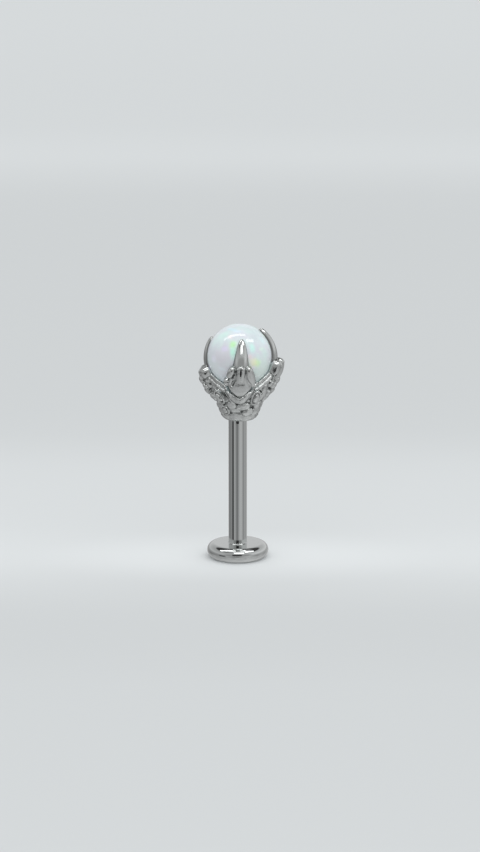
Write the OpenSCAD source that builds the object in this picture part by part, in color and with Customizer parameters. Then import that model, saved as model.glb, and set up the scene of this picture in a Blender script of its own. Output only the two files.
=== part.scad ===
// Labret stud: a flat disc and post, and a scaled claw that grips an opal ball. It stands on its disc.
// The origin is the centre of the disc's bottom face, +Z runs up the post, and the front claw faces -Y.

/* [Disc and post] */
// Diameter of the disc
disc_d = 4; // [3:0.25:6]
// Thickness of the disc, whose rim is rounded over its whole height
disc_t = 0.92; // [0.6:0.02:1.2]
// Diameter of the post
post_d = 1.2; // [1.2:0.1:1.6]
// Length of the post between the disc and the head
post_l = 8.25; // [6:0.25:12]

/* [Head] */
// Diameter of the opal ball, which the claw setting grows with
ball_d = 4.2; // [3.6:0.1:5]
// Sideways offset of the head from the post
head_shift = 0.12; // [0:0.02:0.14]
// Width of a nail where it leaves the knuckle, on a 4.2 mm ball
nail_w = 1; // [0.8:0.05:1.2]
// Width of a finger's broad back, on a 4.2 mm ball
finger_w = 1.68; // [1.4:0.02:1.9]
// Height of the palm's scales over its skin, on a 4.2 mm ball
scale_rise = 0.1; // [0.06:0.01:0.16]

/* [Fits] */
// Gap between the ball and the setting, and between the setting and the post with its stem
seat_gap = 0.03; // [0.02:0.01:0.06]
// Diameter of the post's plain stem inside the setting
stem_d = 0.8; // [0.6:0.05:0.85]
// Length of the stem
stem_l = 1.3; // [0.8:0.1:1.5]

/* [Hidden] */

rim_r = disc_t / 2;
top_z = disc_t + post_l;
bore_fn = 32;
bore_r = (stem_d / 2 + seat_gap) / cos(180 / bore_fn);
root_fillet = 0.06;
mouth_chamfer = 0.05;
round_fn = 96;

// The setting's tables are drawn round a ball of this radius, and the whole is scaled to the ball
DRAWN_R = 2.1;
head_scale = ball_d / 2 / DRAWN_R;
// Height of the ball's centre over the setting's underside, as drawn
seat_h = 4.1;
ball_z = top_z + seat_gap + seat_h * head_scale;
// How far the pieces reach into the ball's space before it is cut out of them
sunk = 0.3;
oval_fn = 8;
cut_fn = 48;
// Turns of the ball's cutter and of the palm, so that their facets cross the fingers' at an angle
cut_turn = 2.6;
palm_turn = 1.7;
cut_r = (ball_d / 2 + seat_gap) / cos(180 / cut_fn);

// The claws, one row each, clockwise from the front seen from below
AZIMUTH = 0;       // where the claw stands round the post, 0 at the front
KNUCKLE = 1;       // latitude of the knuckle's middle on the ball
KNUCKLE_RISE = 2;  // height of the knuckle over the ball
TIP = 3;           // latitude of the nail's tip
NAIL_T = 4;        // thickness of the nail at the knuckle
TIP_T = 5;         // thickness of the nail at its tip
SWAY = 6;          // degrees that the claw turns round the post for each degree of latitude
KIND = 7;          // which of the tables of backs and lobes it takes
FRONT = 0;
RIGHT = 1;
LEFT = 2;
CLAWS = [
    [2.6, -15.5, 0.82, 40.5, 0.40, 0.13, 0.055, FRONT],
    [90, -14.5, 0.865, 54, 0.36, 0.24, 0, RIGHT],
    [177.4, -15.5, 0.82, 40.5, 0.40, 0.13, -0.055, FRONT],
    [270, -29, 0.84, 36, 0.25, 0.17, 0, LEFT],
];

// A finger's broad back, from its root in the palm to the top of the knuckle: a shield at the front and the
// back, and a narrower bar at the sides
LIFT = 0;  // degrees over the knuckle's middle
HALF = 1;  // half width, as a share of the finger's half width
RISE = 2;  // height over the ball, as a share of the knuckle's
SHIELD = [
    [-34.5, 0.04, 1.24],
    [-31, 0.26, 1.27],
    [-27, 0.56, 1.28],
    [-22, 0.92, 1.22],
    [-19, 1.00, 1.16],
    [-16, 0.97, 1.08],
    [-11.5, 0.80, 0.96],
    [-7, 0.62, 0.86],
    [0, 0.54, 0.78],
    [7, 0.54, 0.72],
    [12.5, 0.46, 0.60],
    [16, 0.26, 0.40],
];
BAR = [
    [-46, 0.40, 1.10],
    [-38, 0.60, 1.04],
    [-28, 0.71, 0.97],
    [-20, 0.74, 0.95],
    [-12, 0.71, 0.98],
    [-6, 0.67, 1.01],
    [0, 0.64, 0.99],
    [4, 0.62, 0.91],
    [8, 0.58, 0.75],
    [11, 0.54, 0.52],
    [13.5, 0.40, 0.26],
];
BACKS = [SHIELD, BAR, BAR];
back_boxy = [0.55, 0.85, 0.85];

// The plain bar under the back that joins the finger to the palm
core_root = -74;
core_half = 0.5;
core_rise = 0.62;
core_boxy = 0.8;

// The nail, from inside the knuckle to its blunt tip
nail_overlap = 8;
nail_tip_half = 0.16;
nail_blunt = 20;
nail_boxy = 0.7;

// The long pad over the joint, split by a groove
pad_half = 0.29;
pad_reach = 7;
pad_drop = [0, 0.1, 0.1];
groove = [0.05, 0.25, 0.12];

// Lobes beside the knuckle, on the finger's left (negative) and right side
L_LAT = 0;   // degrees over the knuckle
L_SIDE = 1;  // distance from the finger's middle line
L_RISE = 2;  // height of its centre over the ball
L_LONG = 3;  // half length up the finger
L_WIDE = 4;  // half width
L_TURN = 5;  // turn of its long axis, in degrees
FRONT_LOBES = [
    [1, -0.60, 0.32, 0.42, 0.24, -24],
    [-17.5, -0.79, 0.28, 0.26, 0.24, 0],
    [-8, 0.63, 0.28, 0.78, 0.29, 16],
];
RIGHT_LOBES = [
    [10.5, 0.50, 0.20, 0.24, 0.26, 0],
    [-4, 0.60, 0.32, 0.44, 0.28, 0],
    [-22, 0.54, 0.40, 0.38, 0.26, 0],
];
LEFT_LOBES = [
    [6, 0.52, 0.26, 0.30, 0.25, 0],
    [-6, 0.60, 0.36, 0.26, 0.28, 0],
    [-17, 0.56, 0.42, 0.27, 0.28, 0],
];
LOBES = [FRONT_LOBES, RIGHT_LOBES, LEFT_LOBES];
lobe_depth = 0.36;

// Scales down the back of a side finger
ROOT_LAT = 0;
ROOT_SIDE = 1;  // distance from the finger's middle line
ROOT_TOP = 2;   // height of its top over the ball
ROOT_LONG = 3;
ROOT_WIDE = 4;
ROOT_SCALES = [
    [-33, 0.02, 0.93, 0.32, 0.44],
    [-40, -0.34, 0.94, 0.29, 0.34],
    [-41, 0.35, 0.95, 0.29, 0.34],
    [-48, 0.03, 1.08, 0.34, 0.44],
    [-53, -0.42, 1.05, 0.30, 0.34],
    [-54, 0.43, 1.04, 0.30, 0.34],
    [-58.5, 0.02, 1.17, 0.34, 0.40],
];
root_depth = 0.34;

// Scales round the palm on the front half, repeated on the back half
S_AZIMUTH = 0;
S_R = 1;       // distance from the setting's axis
S_H = 2;       // height over the ball's centre
S_WIDE = 3;    // half width
S_TALL = 4;    // half height
S_TURN = 5;    // turn of the oval, in degrees
SCALES = [
    [-49, 1.72, -2.46, 0.38, 0.52, 28],
    [-16, 1.74, -2.48, 0.20, 0.34, 24],
    [36, 1.71, -2.47, 0.34, 0.54, -4],
    [60, 1.76, -2.30, 0.30, 0.42, -16],
    [-80, 1.78, -2.48, 0.34, 0.42, 16],
    [84, 1.72, -2.60, 0.34, 0.42, -12],
    [9, 1.56, -2.97, 0.46, 0.30, 4],
    [-26, 1.54, -2.93, 0.28, 0.32, 14],
    [-60, 1.48, -3.02, 0.36, 0.30, -15],
    [56, 1.46, -3.04, 0.36, 0.34, 15],
    [88, 1.42, -3.16, 0.36, 0.32, 0],
    [-88, 1.42, -3.16, 0.36, 0.32, 0],
    [-10.5, 1.44, -3.19, 0.36, 0.24, -6],
    [21, 1.33, -3.46, 0.36, 0.28, 8],
    [-41, 1.40, -3.34, 0.36, 0.33, 12],
    [-70, 1.32, -3.46, 0.35, 0.28, -10],
    [50, 1.34, -3.42, 0.35, 0.30, -10],
    [78, 1.30, -3.50, 0.35, 0.27, 10],
];

// The smooth band that leaves the ball on the left, dips under the front finger and climbs on the right
B_AZIMUTH = 0;
B_R = 1;      // distance of its middle line from the setting's axis
B_H = 2;      // height over the ball's centre
B_THICK = 3;  // radius
BAND = [
    [-82, 2.17, -0.60, 0.10],
    [-79, 2.02, -1.14, 0.16],
    [-71, 1.69, -1.62, 0.18],
    [-60, 1.40, -1.90, 0.19],
    [-46, 1.30, -2.08, 0.19],
    [-30, 1.38, -2.24, 0.19],
    [-14, 1.74, -2.41, 0.18],
    [0, 1.99, -2.56, 0.17],
    [14, 1.76, -2.38, 0.18],
    [32, 1.40, -2.16, 0.19],
    [48, 1.34, -2.02, 0.19],
    [60, 1.46, -1.84, 0.19],
    [72, 1.80, -1.50, 0.18],
    [80, 2.12, -0.89, 0.16],
    [84, 2.26, -0.25, 0.10],
];

// The palm's outline, from the rim at the ball down to the collar, as distance from the axis and height
PALM = [
    [1.20, -1.74],
    [1.44, -1.98],
    [1.56, -2.26],
    [1.62, -2.48],
    [1.60, -2.68],
    [1.50, -2.90],
    [1.35, -3.16],
    [1.24, -3.42],
    [1.18, -3.66],
    [1.12, -3.86],
];
foot_r = 0.84;
foot_round = 0.22;

// The palm scales lean out at this latitude, and their middles sit this far inside the place in their table
scale_lean = -24;
scale_sink = 0.08;
scale_depth = 0.06;

// The direction away from the ball's centre, and the direction to the side
function outward(azimuth, lat) = [cos(lat) * sin(azimuth), -cos(lat) * cos(azimuth), sin(lat)];
function sideways(azimuth) = [cos(azimuth), sin(azimuth), 0];

// A point over the ball, a distance to the side of the meridian at that azimuth
function over_ball(azimuth, lat, rise, side) =
    let (r = DRAWN_R + rise, turn = side / r * 180 / PI)
    r * (cos(turn) * outward(azimuth, lat) + sin(turn) * sideways(azimuth));

// The azimuth of a claw's middle line at a latitude
function claw_azimuth(claw, lat) = claw[AZIMUTH] + claw[SWAY] * lat;

// Keeps the sign of x and raises its size to a power, for sections between an ellipse and a box
function signed_pow(x, p) = sign(x) * pow(abs(x), p);

// One closed section that lies across a meridian, arched outwards and sunk inwards
function arch(azimuth, lat, half, rise, boxy, sides) = [
    for (i = [0:sides - 1])
        let (a = 360 * i / sides, up = signed_pow(sin(a), boxy))
        over_ball(azimuth, lat, (up > 0 ? rise : sunk) * up, half * signed_pow(cos(a), boxy))
];

// A column of a table of backs at a place between its rows, joined by straight lines
function between(rows, col, x) = lookup(x, [for (row = rows) [row[LIFT], row[col]]]);

// The mean of a loop's points
function middle(loop) = [for (p = loop) 1 / len(loop)] * loop;

// A closed skin over sections of equal point counts, with its ends closed onto their middles
module skin(loops) {
    n = len(loops[0]);
    last = len(loops) - 1;
    points = concat([for (loop = loops) each loop], [middle(loops[0]), middle(loops[last])]);
    walls = [
        for (k = [0:last - 1], i = [0:n - 1])
            let (a = k * n + i, b = k * n + (i + 1) % n)
            each [[a, b, b + n], [a, b + n, a + n]]
    ];
    first_cap = [for (i = [0:n - 1]) [(i + 1) % n, i, (last + 1) * n]];
    last_cap = [for (i = [0:n - 1]) [last * n + i, last * n + (i + 1) % n, (last + 1) * n + 1]];
    polyhedron(points, concat(walls, first_cap, last_cap));
}

// Puts its children on a spot beside the axis, with their +Z along a normal of the given latitude
module seated(azimuth, r, h, lean, turn) {
    rotate([0, 0, azimuth]) translate([0, -r, h]) rotate([90 - lean, 0, 0]) rotate([0, 0, turn]) children();
}

// Puts its children over the ball, a distance to the side of a meridian, with their +Z away from the ball
module over(azimuth, lat, rise, side = 0, turn = 0) {
    r = DRAWN_R + rise;
    rotate([0, 0, azimuth]) rotate([90 - lat, 0, 0]) rotate([0, side / r * 180 / PI, 0])
        translate([0, 0, r]) rotate([0, 0, turn]) children();
}

// An oval lump: two flattened balls joined along its length, with a height that their facets really reach
module oval(wide, tall, rise) {
    end = max(tall - wide, 0.02);
    height = rise / cos(180 / oval_fn);
    hull() {
        for (y = [-end, end]) {
            translate([0, y, 0]) scale([wide, min(wide, tall), height]) sphere(1, $fn = oval_fn);
        }
    }
}

module nail(claw) {
    rows = 10;
    root = claw[KNUCKLE] + nail_overlap;
    skin([
        for (k = [0:rows])
            let (
                v = min(k / rows, 0.998),
                lat = root + (claw[TIP] - root) * v,
                full = sqrt(1 - pow(v, nail_blunt)),
                half = (nail_w / 2 * (1 - v) + nail_tip_half * v) * full,
                rise = (claw[NAIL_T] * (1 - v) + claw[TIP_T] * v) * (0.4 + 0.6 * full)
            )
            arch(claw_azimuth(claw, lat), lat, half, rise, nail_boxy, 12)
    ]);
}

module back(claw) {
    rows = 11;
    table = BACKS[claw[KIND]];
    start = table[0][LIFT];
    end = table[len(table) - 1][LIFT];
    skin([
        for (k = [0:rows])
            let (
                lift = start + (end - start) * k / rows,
                lat = claw[KNUCKLE] + lift,
                half = finger_w / 2 * between(table, HALF, lift),
                rise = claw[KNUCKLE_RISE] * between(table, RISE, lift)
            )
            arch(claw_azimuth(claw, lat), lat, half, rise, back_boxy[claw[KIND]], 14)
    ]);
}

module core(claw) {
    rows = 6;
    skin([
        for (k = [0:rows])
            let (lat = core_root + (claw[KNUCKLE] - core_root) * k / rows)
            arch(claw_azimuth(claw, lat), lat, core_half, core_rise, core_boxy, 12)
    ]);
}

module pad(claw) {
    rise = claw[KNUCKLE_RISE] - pad_half;
    difference() {
        hull() {
            for (step = [-1:1]) {
                lat = claw[KNUCKLE] + pad_reach * step;
                drop = pad_drop[claw[KIND]] * abs(step);
                over(claw_azimuth(claw, lat), lat, rise - drop) sphere(pad_half, $fn = 12);
            }
        }
        over(claw_azimuth(claw, claw[KNUCKLE]), claw[KNUCKLE] + 3, claw[KNUCKLE_RISE] + 0.02)
            oval(groove[0], groove[1], groove[2]);
    }
}

module lobes(claw) {
    flips = claw[KIND] == FRONT ? [1] : [1, -1];
    for (lobe = LOBES[claw[KIND]], flip = flips) {
        lat = claw[KNUCKLE] + lobe[L_LAT];
        over(claw_azimuth(claw, lat), lat, lobe[L_RISE], flip * lobe[L_SIDE], flip * lobe[L_TURN])
            oval(lobe[L_WIDE], lobe[L_LONG], lobe_depth);
    }
}

module root_scales(claw) {
    for (s = ROOT_SCALES) {
        over(claw[AZIMUTH], s[ROOT_LAT], s[ROOT_TOP] - root_depth, s[ROOT_SIDE])
            oval(s[ROOT_WIDE], s[ROOT_LONG], root_depth);
    }
}

module finger(claw) {
    nail(claw);
    back(claw);
    core(claw);
    pad(claw);
    lobes(claw);
    if (claw[KIND] != FRONT) {
        root_scales(claw);
    }
}

module palm_scales() {
    for (s = SCALES) {
        seated(s[S_AZIMUTH], s[S_R] - scale_sink, s[S_H], scale_lean, s[S_TURN])
            oval(s[S_WIDE], s[S_TALL], scale_rise + scale_depth);
    }
}

// A row of the band's table, with the end rows repeated beyond its ends
function band_row(i) = BAND[max(0, min(len(BAND) - 1, i))];

// The band's values at x rows along its table, on a smooth curve through the rows
function band_at(x) =
    let (i = min(floor(x), len(BAND) - 2), t = x - i)
    let (a = band_row(i - 1), b = band_row(i), c = band_row(i + 1), d = band_row(i + 2))
    b + 0.5 * t * (c - a + t * (2 * a - 5 * b + 4 * c - d + t * (3 * (b - c) + d - a)));

function band_place(x) =
    let (row = band_at(x))
    [row[B_R] * sin(row[B_AZIMUTH]), -row[B_R] * cos(row[B_AZIMUTH]), row[B_H]];

module band() {
    sides = 7;
    steps = 2;
    last = len(BAND) - 1;
    skin([
        for (k = [0:last * steps])
            let (
                x = k / steps,
                here = band_place(x),
                ahead = band_place(min(x + 0.1, last)) - band_place(max(x - 0.1, 0)),
                along = ahead / norm(ahead),
                out = cross(along, cross(here / norm(here), along)),
                across = cross(along, out)
            )
            [
                for (i = [0:sides - 1])
                    let (a = 360 * i / sides)
                    here + band_at(x)[B_THICK] * (cos(a) * across + sin(a) * out)
            ]
    ]);
}

module palm() {
    rotate([0, 0, palm_turn]) rotate_extrude($fn = 40) polygon(concat(
        [[0, -DRAWN_R + sunk]],
        PALM,
        [for (a = [0:30:90]) [foot_r + foot_round * cos(a), -seat_h + foot_round * (1 - sin(a))]],
        [[0, -seat_h]]
    ));
}

// The disc with its rounded rim, the post with its stem, and the small fillet where disc and post meet
module post_outline() {
    flat_r = disc_d / 2 - rim_r;
    post_r = post_d / 2;
    translate([flat_r, rim_r]) circle(rim_r, $fn = 64);
    square([flat_r, disc_t]);
    square([post_r, top_z]);
    square([stem_d / 2, top_z + stem_l]);
    difference() {
        translate([0, disc_t]) square([post_r + root_fillet, root_fillet]);
        translate([post_r + root_fillet, disc_t + root_fillet]) circle(root_fillet, $fn = 32);
    }
}

// The blind hole for the stem, with a chamfered mouth
module bore() {
    chamfer_z = top_z + seat_gap + mouth_chamfer;
    rotate_extrude($fn = bore_fn) polygon([
        [0, chamfer_z - bore_r],
        [bore_r * 2, chamfer_z - bore_r],
        [bore_r, chamfer_z],
        [bore_r, top_z + stem_l + seat_gap],
        [0, top_z + stem_l + seat_gap],
    ]);
}

module labret_post() color("silver") {
    rotate_extrude($fn = round_fn) post_outline();
}

module claw_setting() color("gray") {
    difference() {
        translate([head_shift, 0, ball_z]) scale(head_scale) {
            palm();
            for (rear = [0, 1]) {
                mirror([0, rear, 0]) {
                    palm_scales();
                    band();
                }
            }
            for (claw = CLAWS) {
                finger(claw);
            }
        }
        translate([head_shift, 0, ball_z]) rotate([0, 0, cut_turn]) sphere(cut_r, $fn = cut_fn);
        bore();
    }
}

module opal_ball() color("white") {
    translate([head_shift, 0, ball_z]) sphere(d = ball_d, $fn = round_fn);
}

labret_post();
claw_setting();
opal_ball();
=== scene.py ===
# Labret stud on a pale floor: a polished post and disc, a cast dragon claw, and the opal ball that it grips
import math
import bpy
import numpy as np
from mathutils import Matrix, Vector


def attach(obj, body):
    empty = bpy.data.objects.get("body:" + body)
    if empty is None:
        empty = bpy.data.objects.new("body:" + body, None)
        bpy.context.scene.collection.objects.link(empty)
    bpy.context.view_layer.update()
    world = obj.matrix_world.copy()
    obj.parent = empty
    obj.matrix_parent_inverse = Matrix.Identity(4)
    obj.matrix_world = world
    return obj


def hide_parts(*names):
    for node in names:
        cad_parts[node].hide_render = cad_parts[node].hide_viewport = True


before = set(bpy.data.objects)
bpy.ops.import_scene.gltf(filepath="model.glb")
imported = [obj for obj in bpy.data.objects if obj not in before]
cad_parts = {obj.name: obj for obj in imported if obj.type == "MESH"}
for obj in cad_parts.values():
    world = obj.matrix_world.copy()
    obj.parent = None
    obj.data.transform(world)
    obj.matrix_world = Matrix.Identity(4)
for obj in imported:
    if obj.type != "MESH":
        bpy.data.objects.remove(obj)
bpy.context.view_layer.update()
print("frame loaded")

scene = bpy.context.scene
scene.view_settings.view_transform = "Standard"
metre = 0.001  # shapes are worked out in millimetres and stored in metres
onAxis = 1e-4  # the ends of a turned profile stay this far from the axis

view = {
    "target": (0.147, 0.0, 8.701),  # what the middle of the picture looks at, in mm
    "distance": 140.0,
    "elevation": 12.77,  # degrees above the floor
    "lens": 61.04,
}


# A camera straight in front of its target, lifted by its elevation and looking down at it
def addCamera(name, look):
    lens = bpy.data.cameras.new(name)
    lens.sensor_fit = "VERTICAL"
    lens.sensor_height = 24.0
    lens.lens = look["lens"]
    lens.clip_start = 0.005
    lens.clip_end = 20.0
    camera = bpy.data.objects.new(name, lens)
    lift = math.radians(look["elevation"])
    x, y, z = look["target"]
    camera.location = [
        metre * x,
        metre * (y - look["distance"] * math.cos(lift)),
        metre * (z + look["distance"] * math.sin(lift)),
    ]
    camera.rotation_euler = (math.pi / 2 - lift, 0, 0)
    scene.collection.objects.link(camera)
    return camera


scene.camera = addCamera("camera", view)
print("camera placed")


# A mesh object from points in millimetres and faces; it stays at the origin, unturned and unscaled
def makeObject(name, points, faces, smooth=True):
    mesh = bpy.data.meshes.new(name)
    mesh.from_pydata((np.asarray(points).reshape(-1, 3) * metre).tolist(), [], faces)
    mesh.validate()
    mesh.polygons.foreach_set("use_smooth", [smooth] * len(mesh.polygons))
    mesh.update()
    made = bpy.data.objects.new(name, mesh)
    scene.collection.objects.link(made)
    return made


# The faces of a closed surface from a grid: each row is a closed loop, and the end rows close onto their own middle
def closedFaces(rows, cols, shift=0):
    k, i = np.meshgrid(np.arange(rows - 1), np.arange(cols), indexing="ij")
    a = shift + k * cols + i
    b = shift + k * cols + (i + 1) % cols
    walls = np.stack([a, a + cols, b + cols, b], -1).reshape(-1, 4)
    i = np.arange(cols)
    low, high = shift + rows * cols, shift + rows * cols + 1
    start = np.stack([shift + i, shift + (i + 1) % cols, np.full(cols, low)], -1)
    end = shift + (rows - 1) * cols
    finish = np.stack([end + (i + 1) % cols, end + i, np.full(cols, high)], -1)
    return walls.tolist() + start.tolist() + finish.tolist()


# A grid's points, row by row, and then the middles of its first and last rows
def closedPoints(grid):
    rows, cols, _ = grid.shape
    poles = np.stack([grid[0].mean(0), grid[-1].mean(0)])
    return np.concatenate([grid.reshape(-1, 3), poles])


# Several closed grids as one list of points and one of faces
def gathered(grids):
    points, faces, start = [], [], 0
    for grid in grids:
        points.append(closedPoints(grid))
        faces += closedFaces(grid.shape[0], grid.shape[1], start)
        start += len(points[-1])
    return np.concatenate(points), faces


# A surface of revolution: (r, z) points turned round the Z axis, p(u, a) = (r(u) sin a, -r(u) cos a, z(u))
def turned(profile, steps):
    profile = np.asarray(profile, float)
    a = np.linspace(0, 2 * np.pi, steps, endpoint=False)
    r, z = profile[:, :1], profile[:, 1:]
    return np.stack([r * np.sin(a), -r * np.cos(a), z + 0 * a], -1)


# Points of a circle's arc in the (r, z) plane, from one angle to another
def arc(centre, radius, start, end, steps):
    a = np.radians(np.linspace(start, end, steps))
    return np.stack([centre[0] + radius * np.cos(a), centre[1] + radius * np.sin(a)], -1)


# Evenly spaced points of a straight line
def line(start, end, steps):
    return np.linspace(start, end, steps)


post = {
    "discR": 2.0,
    "discT": 0.92,
    "postR": 0.6,
    "topZ": 9.17,
    "fillet": 0.06,
    "stemR": 0.4,
    "stemL": 1.3,
    "edge": 0.03,  # rounding of the post's upper edge
    "sides": 192,
}


# The post's outline in (r, z): along the disc's bottom, round its rim, in to the fillet, up the post and round the stem
def postProfile(size):
    discT, postR, fillet, edge = size["discT"], size["postR"], size["fillet"], size["edge"]
    rimR = discT / 2
    flatR = size["discR"] - rimR
    top, stemTop = size["topZ"], size["topZ"] + size["stemL"]
    return np.concatenate([
        line((onAxis, 0), (flatR, 0), 12)[:-1],
        arc((flatR, rimR), rimR, -90, 90, 64),
        line((flatR, discT), (postR + fillet, discT), 14)[1:-1],
        arc((postR + fillet, discT + fillet), fillet, 270, 180, 10),
        line((postR, discT + fillet), (postR, top - edge), 40)[1:-1],
        arc((postR - edge, top - edge), edge, 0, 90, 8),
        line((size["stemR"], top), (size["stemR"], stemTop), 8),
        line((size["stemR"], stemTop), (onAxis, stemTop), 4)[1:],
    ])


postPoints, postFaces = gathered([turned(postProfile(post), post["sides"])])
postPiece = makeObject("labret_post_turned", postPoints, postFaces)
print("post turned")

# Head: every claw and scale is placed round the ball's centre
head = {
    "ballR": 2.1,
    "centre": (0.12, 0.0, 13.3),
    "sunk": 0.3,  # how far the fingers start inside the ball before they are seated on it
    "seat": 0.012,  # how far a seated surface lies under the ball's surface
    "footZ": -4.1,
    "sides": 36,  # points round a claw's bar
}


# The unit vector at an azimuth (0 faces the viewer, 90 is at the right) and a latitude, in degrees
def outwardAt(azimuth, lat):
    azimuth, lat = np.radians(azimuth), np.radians(lat)
    return np.stack([np.cos(lat) * np.sin(azimuth), -np.cos(lat) * np.cos(azimuth), np.sin(lat)], -1)


# The level unit vector square to it, to the right as seen from outside
def sidewaysAt(azimuth):
    azimuth = np.radians(azimuth)
    return np.stack([np.cos(azimuth), np.sin(azimuth), 0 * azimuth], -1)


# A point over the ball: out along the radius at (azimuth, latitude), then turned sideways by side / r
def overBall(azimuth, lat, rise, side):
    r = head["ballR"] + rise
    turn = side / r
    out, across = outwardAt(azimuth, lat), sidewaysAt(azimuth + 0 * lat)
    return r[..., None] * (np.cos(turn)[..., None] * out + np.sin(turn)[..., None] * across)


# |x|^power, with the sign of x
def signedPower(x, power):
    return np.sign(x) * np.abs(x) ** power


# A bar along a meridian: each row is a superellipse, half wide and rise high outwards, and sunk into the ball inwards
def archBar(azimuth, lat, half, rise, boxy):
    a = np.linspace(0, 2 * np.pi, head["sides"], endpoint=False)
    up = signedPower(np.sin(a), boxy)
    over = np.where(up > 0, rise[:, None] * up, head["sunk"] * up)
    side = half[:, None] * signedPower(np.cos(a), boxy)
    return overBall((azimuth + 0 * lat)[:, None] + 0 * a, lat[:, None] + 0 * a, over, side)


# A small shape put in its place: its x runs sideways, its y up the surface and its z outwards, turned about z
def placed(grid, azimuth, lat, origin, turn=0.0):
    east, north, out = sidewaysAt(np.float64(azimuth)), outwardAt(azimuth, lat + 90.0), outwardAt(azimuth, lat)
    c, s = math.cos(math.radians(turn)), math.sin(math.radians(turn))
    axisX, axisY = c * east + s * north, -s * east + c * north
    return origin + grid[..., :1] * axisX + grid[..., 1:2] * axisY + grid[..., 2:] * out


# A place over the ball, and the azimuth that its sideways shift brings it to
def overPlace(azimuth, lat, rise, side):
    place = overBall(np.float64(azimuth), np.float64(lat), np.float64(rise), np.float64(side))
    return place, azimuth + math.degrees(side / (head["ballR"] + rise))


# A pillow: x = wide t cos a and y = tall t sin a, with powers that fill its corners, and z = -rise cos f, with one that
# flattens it, where t = sin f. Its top has a groove all round where t is ringAt, ring deep, and within that it has
# grains: a product of two slanted cosines, pebble[0] high and pebble[1] apart
def pillow(wide, tall, rise, dome=0.55, ring=0.0, pebble=(0.0, 1.0), rows=30, sides=44):
    plan, ringAt, ringWide = 0.88, 0.66, 0.13
    f = np.linspace(0.02, np.pi - 0.02, rows)[:, None]
    a = np.linspace(0, 2 * np.pi, sides, endpoint=False)[None, :]
    t, onTop = np.sin(f), f > np.pi / 2
    x = wide * t * signedPower(np.cos(a), plan)
    y = tall * t * signedPower(np.sin(a), plan)
    z = -rise * signedPower(np.cos(f), dome) - ring * np.exp(-(((t - ringAt) / ringWide) ** 2)) * onTop
    high, apart = pebble
    grains = np.cos(2 * np.pi * (x + 0.5 * y) / apart) * np.cos(2 * np.pi * (y - 0.8 * x) / apart + 3 * x / tall)
    z = z + high * grains * np.exp(-((t / ringAt) ** 8)) * onTop
    return np.stack([x, y, z], -1)


# each claw's azimuth, its knuckle's latitude and height, its tip's latitude, how thick the nail is at its root and
# towards its tip, and how far it sways per degree of latitude
claws = [
    {"azimuth": 2.6, "knuckle": -15.5, "rise": 0.82, "tip": 40.5, "thick": (0.46, 0.13), "sway": 0.055, "side": ""},
    {"azimuth": 90, "knuckle": -14.5, "rise": 0.85, "tip": 54, "thick": (0.36, 0.24), "sway": 0, "side": "right"},
    {"azimuth": 177.4, "knuckle": -15.5, "rise": 0.82, "tip": 40.5, "thick": (0.46, 0.13), "sway": -0.055, "side": ""},
    {"azimuth": 270, "knuckle": -29, "rise": 0.79, "tip": 36, "thick": (0.25, 0.17), "sway": 0, "side": "left"},
]
finger = {
    "nailRoot": 8,  # degrees over the knuckle
    "nailHalf": 0.53,
    "tipHalf": 0.20,
    "nailRows": 72,
    # nailPaintedShade: how dark the painted shade on a nail's edges and tip is
    "nailPaintedShade": 0.65,  # how dark a nail's edges are
    "nailBoxy": 0.95,  # 1 is an ellipse, less is boxier
    "backHalf": 0.84,
    "backRoot": -50,
    "backBoxy": 0.55,
    "sideBoxy": 0.85,
    "coreRoot": -74,
    "coreHalf": 0.6,
    "coreRise": 0.55,
    "coreBoxy": 0.8,
    "coreMore": (0.42, -49, 7),  # how much thicker a front finger's core is behind the back's point, where, and how far
    "padHalf": 0.29,
    "padReach": 7.0,
    "padDrop": 0.2,  # how far the pad's ends on a side finger lie lower than its middle
    "scaleRise": 0.34,
    "voxel": 0.03,
    "soften": 5,
}
# a front finger's back from its pointed root to over the knuckle: place along it, share of half width, share of rise
backRows = np.array([
    [0.00, 0.04, 1.24],
    [0.10, 0.26, 1.27],
    [0.22, 0.56, 1.28],
    [0.36, 0.92, 1.22],
    [0.45, 1.00, 1.16],
    [0.54, 0.97, 1.08],
    [0.66, 0.80, 0.96],
    [0.80, 0.62, 0.86],
    [1.00, 0.54, 0.76],
    [1.16, 0.50, 0.62],
    [1.30, 0.40, 0.46],
    [1.42, 0.20, 0.28],
])
# a side finger's back: degrees over the knuckle, half width in mm, share of the rise
sideRows = np.array([
    [-46, 0.34, 1.10],
    [-38, 0.50, 1.04],
    [-28, 0.60, 0.97],
    [-20, 0.62, 0.95],
    [-12, 0.60, 0.98],
    [-6, 0.56, 1.01],
    [0, 0.54, 0.99],
    [4, 0.52, 0.91],
    [8, 0.49, 0.75],
    [11, 0.45, 0.52],
    [13.5, 0.34, 0.26],
])
# lobes beside a front knuckle: degrees over it, sideways, height, half length, half width, half thickness, turn
lobeRows = [
    [1.0, -0.60, 0.32, 0.42, 0.24, 0.36, -24],
    [-17.5, -0.79, 0.28, 0.26, 0.24, 0.36, 0],
    [-8, 0.63, 0.28, 0.78, 0.29, 0.38, 16],
]
# the same on the two sides of a side finger
sideLobeRows = {
    "right": [
        [-5, 0.54, 0.29, 0.62, 0.30, 0.36, 3],
        [-25, 0.60, 0.40, 0.34, 0.27, 0.33, 8],
    ],
    "left": [
        [4, 0.51, 0.28, 0.38, 0.31, 0.38, 0],
        [-12, 0.60, 0.40, 0.36, 0.27, 0.33, 14],
    ],
}
# scales down the back of a side finger: latitude, sideways, height of the top, half length, half width
rootRows = [
    [-33, 0.02, 0.93, 0.32, 0.44],
    [-40, -0.34, 0.94, 0.29, 0.34],
    [-41, 0.35, 0.95, 0.29, 0.34],
    [-48, 0.03, 1.08, 0.34, 0.44],
    [-53, -0.42, 1.05, 0.30, 0.34],
    [-54, 0.43, 1.04, 0.30, 0.34],
    [-58.5, 0.02, 1.17, 0.34, 0.40],
]


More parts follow.
